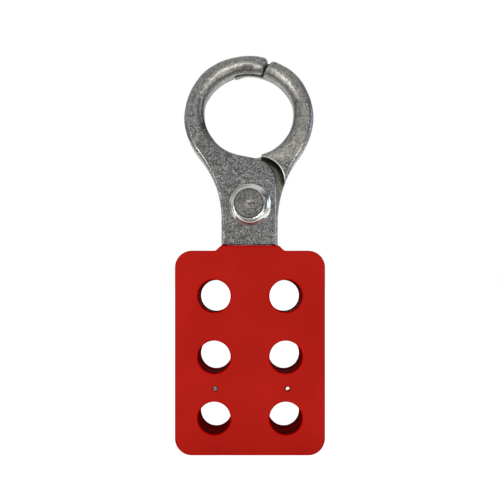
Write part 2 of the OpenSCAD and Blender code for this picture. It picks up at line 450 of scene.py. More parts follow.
def new_piece(name, mesh):
    """A new object in the scene with this mesh."""
    piece = bpy.data.objects.new(name, mesh)
    bpy.context.scene.collection.objects.link(piece)
    return piece


def finish_mesh(bm, name, smooth=True):
    """Turns a bmesh in mm into a mesh in metres, with its faces turned outwards."""
    bmesh.ops.recalc_face_normals(bm, faces=bm.faces)
    bm.transform(Matrix.Scale(MM, 4))
    mesh = bpy.data.meshes.new(name)
    bm.to_mesh(mesh)
    bm.free()
    if smooth:
        mesh.shade_smooth()
    else:
        mesh.shade_flat()
    return mesh


def boolean(piece, other, operation):
    """Applies a boolean to a piece and removes the other object."""
    modifier = piece.modifiers.new("combine", "BOOLEAN")
    modifier.operation = operation
    modifier.object = other
    modifier.solver = "MANIFOLD"
    bpy.context.view_layer.update()
    result = piece.evaluated_get(bpy.context.evaluated_depsgraph_get())
    mesh = bpy.data.meshes.new_from_object(result)
    piece.modifiers.clear()
    piece.data = mesh
    bpy.data.objects.remove(other)
    return piece


def turned_round(piece):
    """The rear leaf is the front one turned half a turn about Z."""
    piece.data.transform(Matrix.Rotation(math.pi, 4, "Z"))
    return piece


def jaw_mesh(name, leaf):
    """Meshes the jaw, neck and tail of one casting."""
    low = np.array([-RING_R - 1, -HALF_T - 1, TAIL_Z - TAIL_HALF_H])
    high = np.array([NECK_NARROW + 1, HALF_T + 1, RING_R + 1])
    counts = np.ceil((high - low) / STEP).astype(int)
    axes = [low[i] + STEP * np.arange(counts[i]) for i in range(3)]
    x = axes[0][:, None, None]
    y = axes[1][None, :, None]
    z = axes[2][None, None, :]
    field = casting_field(x, y, z, leaf)
    grid = openvdb.FloatGrid(BIG)
    grid.copyFromArray(np.ascontiguousarray(field, dtype=np.float32))
    points, quads = grid.convertToQuads(0.0)
    bm = bmesh.new()
    verts = [bm.verts.new(low + STEP * p) for p in points]
    for quad in quads:
        bm.faces.new([verts[i] for i in quad])
    return finish_mesh(bm, name)


def arc(cx, cz, radius, start, end, count):
    """Points and normals along an arc, in degrees; the normals turn in where it runs clockwise."""
    turn = 1 if end > start else -1
    rows = []
    for i in range(count + 1):
        angle = math.radians(start + (end - start) * i / count)
        nx = math.cos(angle)
        nz = math.sin(angle)
        rows.append((cx + radius * nx, cz + radius * nz, turn * nx, turn * nz))
    return rows


def circle_hole(cx, cz, radius, count=96):
    """A hole's edge: its normals point to the middle of the hole."""
    rows = arc(cx, cz, radius, 360, 0, count)
    return rows[:-1]


def round_box(half_w, low, high, radius, count, between=()):
    """A rectangle with round corners, anticlockwise from the lower right corner.

    between is a stretch of edge that takes the place of its straight top.
    """
    x = half_w - radius
    return [
        *arc(x, low + radius, radius, -90, 0, count),
        *arc(x, high - radius, radius, 0, 90, count),
        *between,
        *arc(-x, high - radius, radius, 90, 180, count),
        *arc(-x, low + radius, radius, 180, 270, count),
    ]


def fillet(radius, depth, into, count=8):
    """Profile of a rounded edge: (inset, depth) pairs from the flat face to the wall.

    The first two lie on the face, to keep its shading flat.
    """
    rows = [(radius + 0.35, depth), (radius + 0.08, depth)]
    for i in range(count + 1):
        angle = math.pi / 2 * i / count
        rows.append((radius * (1 - math.sin(angle)), depth + into * radius * (1 - math.cos(angle))))
    return rows


def ring_faces(bm, rings):
    """Joins each closed ring of vertices to the next one."""
    for a, b in zip(rings, rings[1:]):
        for i in range(len(a)):
            j = (i + 1) % len(a)
            bm.faces.new((a[i], a[j], b[j], b[i]))


def walls(bm, edge, profile):
    """Sweeps a profile along a closed edge and returns its first and last rings."""
    rings = []
    for inset, depth in profile:
        ring = [bm.verts.new((x - inset * nx, depth, z - inset * nz)) for x, z, nx, nz in edge]
        rings.append(ring)
    ring_faces(bm, rings)
    return rings[0], rings[-1]


def fill(bm, rings):
    """Closes the flat face between several rings."""
    bm.edges.ensure_lookup_table()
    edges = []
    for ring in rings:
        for i, vert in enumerate(ring):
            edges.append(bm.edges.get((vert, ring[(i + 1) % len(ring)])))
    bmesh.ops.triangle_fill(bm, use_beauty=True, use_dissolve=False, edges=edges)


def plate_mesh(name, outer, holes, outer_profile, hole_profile, blind=(), blind_profile=()):
    """A flat moulding with rounded edges, through holes and blind holes in its front."""
    bm = bmesh.new()
    fronts = []
    backs = []
    for edge, profile in [(outer, outer_profile)] + [(hole, hole_profile) for hole in holes]:
        front, back = walls(bm, edge, profile)
        fronts.append(front)
        backs.append(back)
    for edge in blind:
        front, bottom = walls(bm, edge, blind_profile)
        fronts.append(front)
        bm.faces.new(bottom)
    fill(bm, fronts)
    fill(bm, backs)
    return finish_mesh(bm, name)


def lathe(bm, profile, centre_z, count, reshape=None):
    """Turns (radius, depth) pairs about a line along Y; reshape may move each point."""
    rings = []
    for radius, depth in profile:
        ring = []
        for i in range(count):
            angle = 2 * math.pi * i / count
            point = (radius * math.cos(angle), depth, radius * math.sin(angle))
            if reshape:
                point = reshape(*point)
            ring.append(bm.verts.new((point[0], point[1], centre_z + point[2])))
        rings.append(ring)
    ring_faces(bm, rings)
    bm.faces.new(rings[0])
    bm.faces.new(rings[-1])


def box_mesh(name, low, high):
    """A block, for cutting with."""
    bm = bmesh.new()
    bmesh.ops.create_cube(bm, size=1)
    low = Vector(low)
    high = Vector(high)
    for vert in bm.verts:
        vert.co = Vector((a * b for a, b in zip(vert.co, high - low))) + (low + high) / 2
    return finish_mesh(bm, name, smooth=False)


# ---- Pieces -------------------------------------------------------------------


def core_plate(name, grow):
    """The casting's plate inside a grip, grown by a clearance."""
    margin = SKIN - grow
    outer = round_box(
        GRIP_HALF_W - margin, GRIP_BOTTOM + margin, GRIP_TOP - margin, GRIP_CORNER - margin, 12
    )
    holes = [circle_hole(x, z, HOLE_R + SKIN - grow, 64) for x, z in HOLES]
    edge = 0.3
    front = CORE_FRONT - grow
    back = CORE_BACK + grow
    profile = fillet(edge, front, 1, 3) + fillet(edge, back, -1, 3)[::-1]
    return plate_mesh(name, outer, holes, profile, profile)


def pip_mesh(name, centre_x, lean):
    """A small pip on the casting's plate, which shows in a hole of the grip.

    lean slopes its top, so that it faces up and to the left.
    """
    bm = bmesh.new()
    lathe(bm, PIP_PROFILE, PIN_Z, 24)
    for vert in bm.verts:
        if vert.co.y < PIP_FOOT:
            vert.co.y += lean * (0.8 - 1.2 * vert.co.x + 0.9 * (vert.co.z - PIN_Z))
        vert.co.x += centre_x
    return finish_mesh(bm, name)


def casting(name, leaf):
    """One casting, in the front leaf's place."""
    piece = new_piece(name, jaw_mesh(name, leaf))
    piece = boolean(piece, new_piece("plate", core_plate("plate", 0)), "UNION")
    for x, lean in zip(PIN_XS, PIP_LEANS):
        piece = boolean(piece, new_piece("pip", pip_mesh("pip", x, lean)), "UNION")
    return piece


def collar_edge():
    """The collar's edge above the grip, from its right foot over the top to its left one.

    Each side is a hollow toe, a straight slope and a rounded lip.
    """
    toe = 1.5
    lip = 1.25
    foot_x = 14.4
    slope = 45
    level = math.cos(math.radians(slope))
    toe_arc = arc(foot_x, GRIP_TOP + toe, toe, -90, -90 - slope, 5)
    run = COLLAR_Z - GRIP_TOP - (toe + lip) * (1 - level)
    lip_x = toe_arc[-1][0] - run - lip * level
    right = toe_arc + arc(lip_x, COLLAR_Z - lip, lip, 90 - slope, 90, 5)
    left = [(-px, pz, -nx, nz) for px, pz, nx, nz in reversed(right)]
    return right + left


def grip(name):
    """One moulded grip, in the front leaf's place, with its casting's space inside."""
    outer = round_box(GRIP_HALF_W, GRIP_BOTTOM, GRIP_TOP, GRIP_CORNER, 14, collar_edge())
    holes = [circle_hole(x, z, HOLE_R) for x, z in HOLES]
    pins = [circle_hole(x, PIN_Z, PIN_R, 24) for x in PIN_XS]
    outer_profile = fillet(OUTER_FILLETS[0], GRIP_FRONT, 1)
    outer_profile += fillet(OUTER_FILLETS[1], -HALF_PLAY, -1, 4)[::-1]
    hole_profile = fillet(HOLE_FILLETS[0], GRIP_FRONT, 1)
    hole_profile += fillet(HOLE_FILLETS[1], -HALF_PLAY, -1, 3)[::-1]
    pin_profile = fillet(PIN_FILLET, GRIP_FRONT, 1, 4) + [(0, PIN_BOTTOM)]
    mesh = plate_mesh(name, outer, holes, outer_profile, hole_profile, pins, pin_profile)
    piece = new_piece(name, mesh)
    piece = boolean(piece, new_piece("space", core_plate("space", CLEARANCE)), "DIFFERENCE")
    # The tail's way in, from inside the plate's space to above the collar
    low = (-TAIL_HALF - CLEARANCE, CORE_FRONT - CLEARANCE, GRIP_TOP - 6)
    high = (TAIL_HALF + CLEARANCE, CORE_BACK + CLEARANCE, COLLAR_Z + 1)
    return boolean(piece, new_piece("tail", box_mesh("tail", low, high)), "DIFFERENCE")


def head_profile(foot, top, out):
    """Profile of a riveted head from the middle of its disc to its foot."""
    rows = list(DISC_PROFILE)
    drop = 0
    for i in range(1, BEVEL_STEPS + 1):
        tilt = GENTLE_TILT if i <= GENTLE_STEPS else STEEP_TILT
        drop += BEVEL_STEP * math.tan(tilt)
        rows.append((DISC_R + BEVEL_STEP * i, drop))
    rows += [(HEAD_R - 0.01, drop + 0.15), (HEAD_R - 0.06, abs(top - foot))]
    return [(r, top + out * drop) for r, drop in rows]


def struck(phases, x, y, z):
    """Where a point of a rivet head lies after it was struck off true.

    The disc lies up and to the left and sags at the top, and the upper bevel is a cone.
    """
    radius = math.hypot(x, z)
    angle = math.atan2(z, x)
    if abs(y) < HALF_T + 0.25 or radius < 0.01:
        return x, y, z
    peak = HEAD_BACK if y > 0 else -HEAD_FRONT
    # share is 1 on the disc and falls to 0 across the bevel, soonest at the bottom
    above = float(smooth_step(math.sin(angle), -0.95, -0.4))
    share = 1 - float(smooth_step(radius, DISC_R + 0.3 * above, 7.2 + 1.1 * above))
    sag = 0.02 * (z + DISC_R) + 0.02 * math.cos(2 * angle + phases[0])
    sag += 0.02 * math.cos(3 * angle + phases[1]) + 0.04
    height = abs(y) - max(sag, 0) * share
    if DISC_R < radius < HEAD_R - 0.03:
        cone = peak - 0.3 - 0.62 * (radius - DISC_R)
        upper = float(smooth_step(math.sin(angle), -0.2, 0.5))
        height += (cone - height) * upper * float(smooth_step(radius, DISC_R, 6.8))
    return x + HEAD_SHIFT_X * share, math.copysign(height, y), z + HEAD_SHIFT_Z * share


def rivet(name):
    """The pivot rivet: two burnished heads and the shank between them."""
    rng = np.random.default_rng(7)
    phases = rng.uniform(0, 2 * math.pi, 2)
    front_foot = -HALF_T - HEAD_PLAY
    profile = head_profile(front_foot, HEAD_FRONT, 1)
    profile += [(SHANK_R, front_foot), (SHANK_R, HALF_T)]
    profile += head_profile(HALF_T, HEAD_BACK, -1)[::-1]
    bm = bmesh.new()
    lathe(bm, profile, PIVOT_Z, 160, functools.partial(struck, phases))
    return new_piece(name, finish_mesh(bm, name))


# ---- Materials ----------------------------------------------------------------

# In these functions s is the node tree that is being filled, and c holds the fields
# that the layers of a casting share. Colours are linear, as Blender takes them.


class Nodes:
    """Fills the node tree of a material or a world with short calls."""

    def __init__(self, owner):
        owner.use_nodes = True
        self.owner = owner
        self.tree = owner.node_tree
        self.tree.nodes.clear()

    def plug(self, value, socket):
        """Links a socket to another one, or sets it to a plain value."""
        if isinstance(value, bpy.types.NodeSocket):
            self.tree.links.new(value, socket)
        else:
            socket.default_value = value

    def node(self, kind, inputs=(), **settings):
        node = self.tree.nodes.new(kind)
        for key, value in settings.items():
            setattr(node, key, value)
        for key, value in dict(inputs).items():
            self.plug(value, node.inputs[key])
        return node

    def math(self, operation, a, b=0.0):
        return self.node("ShaderNodeMath", {0: a, 1: b}, operation=operation).outputs[0]

    def chain(self, operation, values):
        """Works through several values with one operation, from the first to the last."""
        return functools.reduce(functools.partial(self.math, operation), values)

    def times(self, *values):
        return self.chain("MULTIPLY", values)

    def highest(self, *values):
        return self.chain("MAXIMUM", values)

    def noise(self, vector, scale, detail=2.0, roughness=0.5, distortion=0.0):
        inputs = {"Vector": vector, "Scale": scale, "Detail": detail}
        inputs.update({"Roughness": roughness, "Distortion": distortion})
        return self.node("ShaderNodeTexNoise", inputs).outputs["Fac"]

    def ramp(self, value, low, high, start=0.0, end=1.0):
        """Goes smoothly from start, where the value is low, to end, where it is high."""
        inputs = {"Value": value, "From Min": low, "From Max": high, "To Min": start, "To Max": end}
        return self.node("ShaderNodeMapRange", inputs, interpolation_type="SMOOTHSTEP").outputs[0]

    # A mix node has sockets of its own for each type: 2 and 3 are numbers, 6 and 7 colours

    def mix(self, factor, a, b):
        return self.node("ShaderNodeMix", {0: factor, 2: a, 3: b}, data_type="FLOAT").outputs[0]

    def mix_colour(self, factor, a, b):
        return self.node("ShaderNodeMix", {0: factor, 6: a, 7: b}, data_type="RGBA").outputs[2]

    def mm(self):
        """Object coordinates in millimetres."""
        inputs = {0: self.node("ShaderNodeTexCoord").outputs["Object"], "Scale": 1 / MM}
        return self.node("ShaderNodeVectorMath", inputs, operation="SCALE").outputs[0]

    def normal(self):
        return self.parts(self.node("ShaderNodeTexCoord").outputs["Normal"])

    def parts(self, vector):
        node = self.node("ShaderNodeSeparateXYZ", {0: vector})
        return node.outputs[0], node.outputs[1], node.outputs[2]

    def join(self, x, y, z):
        return self.node("ShaderNodeCombineXYZ", {0: x, 1: y, 2: z}).outputs[0]

    def moved(self, vector, offset):
        return self.node("ShaderNodeVectorMath", {0: vector, 1: offset}, operation="ADD").outputs[0]

    def length(self, x, y, z):
        inputs = {0: self.join(x, y, z)}
        return self.node("ShaderNodeVectorMath", inputs, operation="LENGTH").outputs["Value"]

    def bump(self, height, distance, strength=1.0, normal=None):
        inputs = {"Height": height, "Distance": distance * MM, "Strength": strength}
        if normal is not None:
            inputs["Normal"] = normal
        return self.node("ShaderNodeBump", inputs).outputs[0]

    def surface(self, inputs):
        shader = self.node("ShaderNodeBsdfPrincipled", inputs)
        self.node("ShaderNodeOutputMaterial", {"Surface": shader.outputs[0]})
        return self.owner


# Colours of the castings: bare metal, the mould's skin, wear, a lap tint, and painted shade and
# highlights
METAL_TONES = ((0.30, 0.30, 0.29, 1), (0.38, 0.38, 0.365, 1))
PIT_SHADE_TONE = (0.09, 0.095, 0.10, 1)
RIDGE_HIGHLIGHT_TONE = (0.56, 0.565, 0.55, 1)
FURROW_SHADE_TONE = (0.06, 0.065, 0.07, 1)
DARK_FLECK = (0.11, 0.11, 0.115, 1)
BRIGHT_FLECK = (0.62, 0.62, 0.60, 1)
SEAM_TONE = (0.07, 0.07, 0.07, 1)
RUBBED_HIGHLIGHT_TONE = (0.62, 0.62, 0.61, 1)
OPENING_SHADE_TONE = (0.085, 0.08, 0.07, 1)
STEP_WALL_SHADE_TONE = (0.02, 0.02, 0.02, 1)
STEP_EDGE_HIGHLIGHT_TONE = (0.85, 0.84, 0.80, 1)
PIP_HIGHLIGHT_TONE = (0.8, 0.78, 0.68, 1)
LAP_TONE = (0.42, 0.40, 0.33, 1)
PAINTED_SHADE_TONE = (0.02, 0.02, 0.018, 1)
GAP_SHADE_TONE = (0.05, 0.05, 0.045, 1)

# Heights between which the layers of a casting fade in or out, in mm
SMOOTHED_ZS = (-16.0, -2.0)
RUBBED_HIGHLIGHT_ZS = (-31.0, -25.0)
FLANK_TOP_ZS = (-9.0, -13.0)
FLANK_FOOT_ZS = (-25.0, -19.0)
OPENING_SHADE_ZS = (-14.0, -8.0)
STEP_ZS = (-12.0, -14.0)
STEP_HIGHLIGHT_ZS = (-18.0, -26.0)
CORNER_SHADE_ZS = (-28.5, -25.0)
LAP_ZS = (-39.0, -36.0)


def casting_fields(s, leaf):
    """Places, directions and noises that the layers of a casting's material share."""
    c = SimpleNamespace(leaf=leaf)
    c.x, c.y, c.z = s.parts(s.mm())
    c.depth = s.math("ABSOLUTE", c.y)
    c.radius = s.length(c.x, 0.0, c.z)
    c.normal_x, normal_y, c.normal_z = s.normal()
    c.facing = s.math("ABSOLUTE", normal_y)

    # Streaks and flecks follow the bar round the ring
    angle = s.math("ARCTAN2", c.z, c.x)
    around = s.join(s.times(c.radius, 2.6), s.times(angle, 9.0), s.times(c.y, 2.6))
    c.streak = s.noise(around, 1.0, 4, 0.65, 0.4)
    c.fine_streak = s.noise(around, 2.7, 3, 0.6)
    along = s.join(s.times(c.radius, 1.5), s.times(angle, 20.0), s.times(c.y, 1.5))
    c.fleck = s.noise(along, 1.0, 3, 0.65, 0.6)

    # The mould's skin: thin winding ridges and furrows on a pebbled ground
    place = s.moved(s.mm(), leaf.noise_offset)
    c.clouds = s.noise(place, 0.16, 3, 0.55)
    c.grain = s.noise(place, 5.5, 2, 0.6)
    c.pebbles = s.noise(place, 0.8, 3, 0.6, 1.2)
    worms = s.noise(place, 0.8, 2, 0.5, 2.4)
    folds = s.noise(s.moved(place, (9, 4, 7)), 0.7, 2, 0.5, 2.6)
    c.ridges = s.ramp(s.math("ABSOLUTE", s.math("SUBTRACT", worms, 0.5)), 0.04, 0.15, 1.0, 0.0)
    c.furrows = s.ramp(s.math("ABSOLUTE", s.math("SUBTRACT", folds, 0.5)), 0.03, 0.13, 1.0, 0.0)
    carved = s.math("SUBTRACT", c.ridges, c.furrows)
    c.skin = s.math("ADD", s.times(c.pebbles, 0.7), s.times(carved, 0.12))

    # It is left below an uneven line, and worn away above it
    level = s.math("ADD", c.z, s.times(s.noise(place, 0.25, 2), 3.0))
    c.pebbled = s.ramp(level, leaf.pebbled_top + 0.6, leaf.pebbled_top + 2.4, 1.0, 0.0)
    c.polished = s.math("SUBTRACT", 1.0, c.pebbled)
    c.burnished = burnished_flank(s, c)
    return c


def burnished_flank(s, c):
    """A burnished line down the outer flank, along its rounded edge; its lighter tone is also a
    painted highlight.
    """
    band = s.times(s.ramp(c.facing, 0.88, 0.93), s.ramp(c.facing, 0.975, 0.99, 1.0, 0.0))
    heights = s.times(s.ramp(c.z, *FLANK_TOP_ZS), s.ramp(c.z, *FLANK_FOOT_ZS))
    outwards = s.ramp(s.times(c.normal_x, c.leaf.side), -0.1, -0.02, 1.0, 0.0)
    return s.times(band, heights, outwards)


def casting_normal(s, c):
    """Relief of the skin and the streaks, smoother on the tumbled edges, and a grain."""
    worn = s.math("ADD", s.times(c.streak, 0.75), s.times(c.fine_streak, 0.25))
    relief = s.mix(c.pebbled, s.times(worn, 0.12), c.skin)
    tumbled = s.times(s.ramp(c.facing, 0.965, 0.997, 0.12, 1.0), s.ramp(c.z, *SMOOTHED_ZS, 1.0, 0.5))
    normal = s.bump(relief, 0.6, s.highest(tumbled, c.polished))
    return s.bump(c.grain, 0.028, s.ramp(c.facing, 0.9, 0.99, 0.4, 1.0), normal)


def casting_roughness(s, c):
    """Streaked gloss where it is worn, a duller skin with bright edges, the burnished line."""
    gloss = s.ramp(c.streak, 0.3, 0.7, 0.30, 0.40)
    dull = s.ramp(c.skin, 0.3, 0.6, 0.44, 0.30)
    dull = s.math("MINIMUM", dull, s.ramp(c.facing, 0.86, 0.965, 0.25, 1.0))
    roughness = s.mix(c.pebbled, gloss, dull)
    return s.math("MINIMUM", roughness, s.ramp(c.burnished, 0.2, 0.8, 1.0, 0.24))


def skin_shade_and_highlight_layer(s, c, tone):
    """Painted shade in the pits and furrows of the mould's skin, and a painted highlight on its
    ridges.
    """
    # Painted shade where the skin's relief is low (pits, furrows), painted highlight where it is high
    # (ridges)
    pit_shade = s.times(s.ramp(c.pebbles, 0.38, 0.54, 0.6, 0.0), c.pebbled)
    tone = s.mix_colour(pit_shade, tone, PIT_SHADE_TONE)
    tone = s.mix_colour(s.times(c.ridges, c.pebbled, 0.9), tone, RIDGE_HIGHLIGHT_TONE)
    return s.mix_colour(s.times(c.furrows, c.pebbled, 0.9), tone, FURROW_SHADE_TONE)


def fleck_layer(s, c, tone):
    """Dark marks and bright worn spots along the polished bar."""
    marks = s.times(s.ramp(c.fleck, 0.50, 0.66, 0.0, 0.85), c.polished)
    tone = s.mix_colour(marks, tone, DARK_FLECK)
    spots = s.times(s.ramp(c.fleck, 0.34, 0.48, 0.62, 0.0), c.polished)
    return s.mix_colour(spots, tone, BRIGHT_FLECK)


def wear_and_highlight_layer(s, c, tone):
    """The seam's fine line across the bar, rubbed edges on the neck and a burnished flank, both also
    painted highlights.
    """
    across = s.math("SUBTRACT", s.math("ABSOLUTE", c.x), SEAM_X)
    bow = s.times(across, across, SEAM_BOW)
    off_line = s.math("ABSOLUTE", s.math("SUBTRACT", s.math("SUBTRACT", c.z, SEAM_Z), bow))
    line = s.times(s.ramp(off_line, 0.12, 0.45, 0.4, 0.0), s.ramp(across, -9.0, -7.0))
    tone = s.mix_colour(line, tone, SEAM_TONE)
    # Lighter neck edges where they turn away from the face: rubbed wear, and a painted highlight
    rubbed_highlight = s.times(s.ramp(c.facing, 0.75, 0.93, 0.55, 0.0), s.ramp(c.z, *RUBBED_HIGHLIGHT_ZS, 1.0, 0.0))
    tone = s.mix_colour(rubbed_highlight, tone, RUBBED_HIGHLIGHT_TONE)
    # The burnished flank's lighter tone is burnish and a painted highlight
    return s.mix_colour(c.burnished, tone, c.leaf.flank_burnish_highlight_tone)


def opening_shade_layer(s, c, tone):
    """Painted shade on the opening's rounded edge, with less where the edge faces straight inwards."""
    outwards = s.math("ADD", s.times(c.normal_x, c.x), s.times(c.normal_z, c.z))
    inwards = s.math("DIVIDE", outwards, s.times(c.radius, -1.0))
    # Painted shade on the opening's rounded edge: a dark reflection painted into the colour
    opening_shade = s.times(
        s.ramp(inwards, 0.68, 0.82, 0.0, c.leaf.opening_shade_share),
        s.ramp(inwards, 0.985, 0.998, 1.0, 0.35),
        s.ramp(c.fleck, 0.35, 0.55, 0.6, 1.0),
        s.ramp(c.z, *OPENING_SHADE_ZS),
    )
    return s.mix_colour(opening_shade, tone, OPENING_SHADE_TONE)


def past_step(s, c):
    """Distance out from the arc of the step beside the other leaf's shoulder."""
    from_x = s.math("SUBTRACT", c.x, c.leaf.side * RELIEF_X)
    from_z = s.math("SUBTRACT", c.z, SHOULDER_Z)
    return s.math("SUBTRACT", s.length(from_x, 0.0, from_z), RELIEF_R)


def step_shade_and_highlight_layer(s, c, tone):
    """The step beside the neck: painted shade on its wall and a painted highlight on its edge."""
    past = past_step(s, c)
    stepped = s.times(s.ramp(s.times(c.y, c.leaf.side), 0.8, 1.2), s.ramp(c.z, *STEP_ZS))
    # Painted shade on the step's wall
    wall = s.times(stepped, s.ramp(past, 0.5, 0.7, 1.0, 0.0), s.ramp(c.facing, 0.5, 0.3))
    tone = s.mix_colour(wall, tone, STEP_WALL_SHADE_TONE)
    # Painted highlight on the step's edge
    edge = s.times(
        s.ramp(past, 0.35, 0.6, 1.0, 0.0),
        s.ramp(c.facing, 0.5, 0.65),
        s.ramp(c.z, *STEP_HIGHLIGHT_ZS, 0.3, 1.0),
        stepped,
    )
    return s.mix_colour(edge, tone, STEP_EDGE_HIGHLIGHT_TONE)


def pip_highlight_and_shade_layer(s, c, tone):
    """One pip gets a painted highlight, with painted shade on its lower right edge."""
    pip_x = s.math("SUBTRACT", c.x, c.leaf.side * PIN_XS[1])
    pip_z = s.math("SUBTRACT", c.z, PIN_Z)
    low_right = s.math("SUBTRACT", s.times(pip_x, 0.5 * c.leaf.side), s.times(pip_z, 0.85))
    # Painted highlight on the pip, with painted shade on its lower right edge
    worn = s.mix_colour(s.ramp(low_right, 0.2, 0.6), PIP_HIGHLIGHT_TONE, PAINTED_SHADE_TONE)
    return s.mix_colour(s.ramp(s.length(pip_x, 0.0, pip_z), 1.0, 1.3, 1.0, 0.0), tone, worn)


def lap_tint_and_shade_layer(s, c, tone):
    """An olive tint on the lap faces, and painted shade in the corner beside the step and in the gap
    between the tongues.
    """
    lap = s.times(
        s.ramp(c.depth, 0.45, 1.3, 0.6, 0.0), s.ramp(c.facing, 0.6, 0.9), s.ramp(c.z, *LAP_ZS)
    )
    tone = s.mix_colour(lap, tone, LAP_TONE)
    # Painted shade in the corner at the foot of the step
    corner_shade = s.times(
        s.ramp(past_step(s, c), -1.3, -0.6),
        s.ramp(s.times(c.x, -c.leaf.side), 5.0, 7.0),
        s.ramp(c.depth, 0.9, 0.6),
        s.ramp(c.z, *STEP_ZS),
        s.ramp(c.z, *CORNER_SHADE_ZS, 0.0, 0.85),
    )
    tone = s.mix_colour(corner_shade, tone, PAINTED_SHADE_TONE)
    # Painted shade in the gap between the tongues
    gap_shade = s.times(
        s.ramp(c.depth, 0.55, 0.9, 1.0, 0.0),
        s.ramp(c.z, *TONGUE_ZS, 0.0, 0.8),
        s.ramp(c.facing, 0.2, 0.6),
    )
    return s.mix_colour(gap_shade, tone, GAP_SHADE_TONE)


def cast_metal(name, leaf):
    """Tumbled die-cast aluminium: streaked and worn above, pebbled mould skin below."""
    s = Nodes(bpy.data.materials.new(name))
    c = casting_fields(s, leaf)
    tone = s.mix_colour(s.ramp(c.clouds, 0.35, 0.65), *METAL_TONES)
    layers = (skin_shade_and_highlight_layer, fleck_layer, wear_and_highlight_layer, opening_shade_layer, step_shade_and_highlight_layer, pip_highlight_and_shade_layer, lap_tint_and_shade_layer)
    for layer in layers:
        tone = layer(s, c, tone)
    return s.surface({
        "Base Color": tone,
        "Metallic": 1.0,
        "Roughness": casting_roughness(s, c),
        "Normal": casting_normal(s, c),
    })


# Colours of the grips: their face, darker specks, painted edge shading on the rounded edges, and
# painted shade inside the holes
VINYL_TONES = ((0.41, 0.0130, 0.0085, 1), (0.455, 0.0150, 0.0098, 1))
VINYL_SPECK = (0.36, 0.012, 0.008, 1)
VINYL_EDGE_SHADING = (0.50, 0.0010, 0.0008, 1)
VINYL_HOLE_SHADE = (0.15, 0.0005, 0.0003, 1)


def nearest_hole(s):
    """Distance to the middle of the nearest padlock hole."""
    x, _, z = s.parts(s.mm())
    nearest = BIG
    for hole_x, hole_z in HOLES:
        inputs = {0: s.join(x, 0.0, z), 1: (hole_x, 0.0, hole_z)}
        away = s.node("ShaderNodeVectorMath", inputs, operation="DISTANCE").outputs["Value"]
        nearest = s.math("MINIMUM", away, nearest)
    return nearest


def red_vinyl(name, offset):
    """Matte moulded vinyl with a faint grain, painted edge shading of purer red, and painted shade in
    its holes.
    """
    s = Nodes(bpy.data.materials.new(name))
    place = s.moved(s.mm(), offset)
    clouds = s.noise(place, 0.05, 3, 0.5)
    speckle = s.noise(place, 1.3, 3, 0.6)
    facing = s.math("ABSOLUTE", s.normal()[1])
    tone = s.mix_colour(s.ramp(clouds, 0.3, 0.7), *VINYL_TONES)
    tone = s.mix_colour(s.ramp(speckle, 0.62, 0.8, 0.0, 0.25), tone, VINYL_SPECK)
    # Painted edge shading: purer red where the surface turns away from the face
    tone = s.mix_colour(s.ramp(facing, 0.90, 0.985, 0.95, 0.0), tone, VINYL_EDGE_SHADING)
    at_hole = s.ramp(nearest_hole(s), HOLE_R + 1.1, HOLE_R + 1.5, 1.0, 0.0)
    # Painted shade on the padlock holes' walls
    hole_shade = s.times(s.ramp(facing, 0.25, 0.7, 0.97, 0.0), at_hole)
    tone = s.mix_colour(hole_shade, tone, VINYL_HOLE_SHADE)
    normal = s.bump(s.noise(place, 3.2, 3, 0.6), 0.018)
    normal = s.bump(s.noise(place, 0.12, 2), 0.25, 1.0, normal)
    roughness = s.ramp(s.noise(place, 0.35, 3, 0.6), 0.3, 0.7, 0.62, 0.74)
    return s.surface({"Base Color": tone, "Roughness": roughness, "Normal": normal, "IOR": 1.01})


# Colours of the rivet: its mottled disc, a scuff in the middle, painted shade in the groove, the bevel
DISC_TONES = ((0.06, 0.062, 0.063, 1), (0.235, 0.237, 0.234, 1))
SCUFF_TONE = (0.42, 0.42, 0.41, 1)
GROOVE_SHADE_TONE = (0.05, 0.05, 0.05, 1)
BEVEL_TONE = (0.80, 0.80, 0.78, 1)


def rivet_steel(name):
    """Bright steel, burnished round the bevel and mottled on top."""
    s = Nodes(bpy.data.materials.new(name))
    place = s.mm()
    x, y, z = s.parts(s.moved(place, (-HEAD_SHIFT_X, 0, -PIVOT_Z - HEAD_SHIFT_Z)))
    radius = s.length(x, 0.0, z)
    turned = s.join(s.times(radius, 3.0), s.times(s.math("ARCTAN2", z, x), 1.6), y)
    rings = s.noise(turned, 1.0, 3, 0.6, 0.5)
    mottle = s.noise(place, 1.25, 3, 0.6, 1.2)
    on_top = s.ramp(radius, DISC_R - 0.35, DISC_R, 1.0, 0.0)
    normal = s.bump(s.math("ADD", s.times(mottle, on_top), s.times(rings, 0.16)), 0.14)
    tone = s.mix_colour(s.ramp(mottle, 0.35, 0.62), *DISC_TONES)
    scuff = s.times(s.ramp(radius, 0.8, 2.6, 0.6, 0.0), s.ramp(mottle, 0.42, 0.54))
    tone = s.mix_colour(scuff, tone, SCUFF_TONE)
    # Painted shade in the disc's groove
    groove_shade = s.times(s.ramp(radius, 5.35, 5.65), s.ramp(radius, 5.8, 6.1, 0.8, 0.0))
    tone = s.mix_colour(groove_shade, tone, GROOVE_SHADE_TONE)
    tone = s.mix_colour(on_top, BEVEL_TONE, tone)
    roughness = s.ramp(on_top, 0.0, 1.0, 0.16, 0.42)
    return s.surface({"Base Color": tone, "Metallic": 1.0, "Roughness": roughness, "Normal": normal})


# How pale the floor is, and how brightly it shows under the object, before it fades
# into the white further out
PAPER = 0.86


